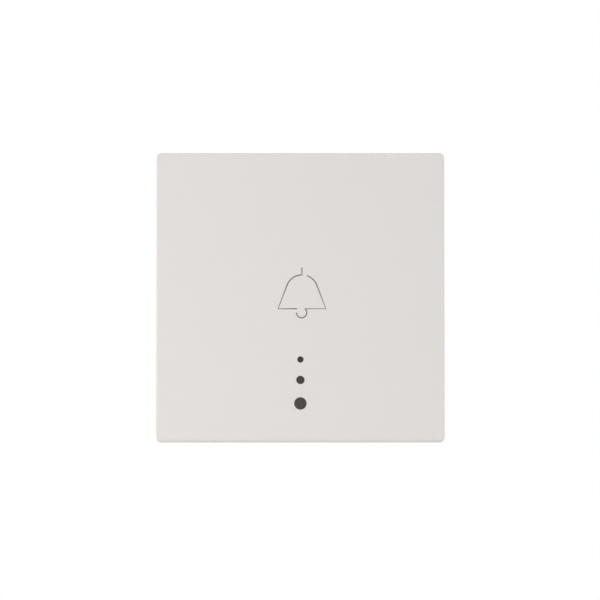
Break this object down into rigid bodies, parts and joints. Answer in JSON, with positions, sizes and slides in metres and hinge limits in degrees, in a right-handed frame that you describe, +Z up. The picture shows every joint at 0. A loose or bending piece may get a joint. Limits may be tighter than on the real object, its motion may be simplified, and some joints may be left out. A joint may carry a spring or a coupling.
{
  "type": "doorbell push button",
  "caption": "Square full-face doorbell push key with three round windows, on a flush-mounting insert with support strap, contacts, return spring and lamp.",
  "frame": {"origin": "centre of the support strap's back face, which lies on the wall", "axes": "+Z up, -Y towards the visitor, +Y into the wall, +X to the visitor's right"},
  "size_m": [0.072, 0.0361, 0.0722],
  "materials": {
    "white_plastic": "satin gloss warm white thermoplastic",
    "smoked_plastic": "smoked clear acrylic, polished",
    "grey_plastic": "fine moulded grey thermoplastic",
    "dark_plastic": "fine moulded dark thermoset",
    "acetal_plastic": "natural low-friction acetal",
    "zinc_steel": "zinc-plated stamped sheet",
    "screw_steel": "zinc-plated screw",
    "spring_steel": "drawn spring wire",
    "copper": "rolled copper alloy strip",
    "brass": "machined brass",
    "silver": "silver contact metal",
    "lamp_lens": "clear cast lamp dome",
    "board_laminate": "coated glass laminate",
    "resistor_ceramic": "glazed chip resistor"
  },
  "bodies": {
    "insert": {"clamp_screw_left": "screw_steel", "clamp_screw_right": "screw_steel", "cover": "grey_plastic", "fixed_tip_left": "silver", "fixed_tip_right": "silver", "housing": "dark_plastic", "housing_ring": "dark_plastic", "housing_screw_lower_left": "screw_steel", "housing_screw_lower_right": "screw_steel", "housing_screw_upper_left": "screw_steel", "housing_screw_upper_right": "screw_steel", "lamp": "lamp_lens", "lamp_board": "board_laminate", "lamp_lead_left": "copper", "lamp_lead_right": "copper", "lamp_resistor": "resistor_ceramic", "return_spring": "spring_steel", "spacer_sleeve_lower_left": "zinc_steel", "spacer_sleeve_lower_right": "zinc_steel", "spacer_sleeve_upper_left": "zinc_steel", "spacer_sleeve_upper_right": "zinc_steel", "support_strap": "zinc_steel", "terminal_left": "brass", "terminal_right": "brass"},
    "rocker": {"key_plate": "white_plastic", "light_guide": "smoked_plastic", "rocker_cradle": "grey_plastic"},
    "slider": {"plunger": "acetal_plastic", "contact_bridge": "copper", "bridge_tip_left": "silver", "bridge_tip_right": "silver"}
  },
  "joints": [
    {"name": "key_press", "type": "hinge", "parent": "insert", "child": "rocker", "pos_m": [0, -0.006, 0], "axis": [1, 0, 0], "range_deg": [0, 6], "stiffness_Nm_per_rad": 0.1, "springref_deg": -18.91},
    {"name": "plunger_slide", "type": "slide", "parent": "insert", "child": "slider", "axis": [0, 1, 0], "range_m": [0, 0.00095], "deforming": ["return_spring"]}
  ],
  "couplings": [
    {"joint": "plunger_slide", "follows": "key_press", "m_per_rad": 0.009}
  ]
}
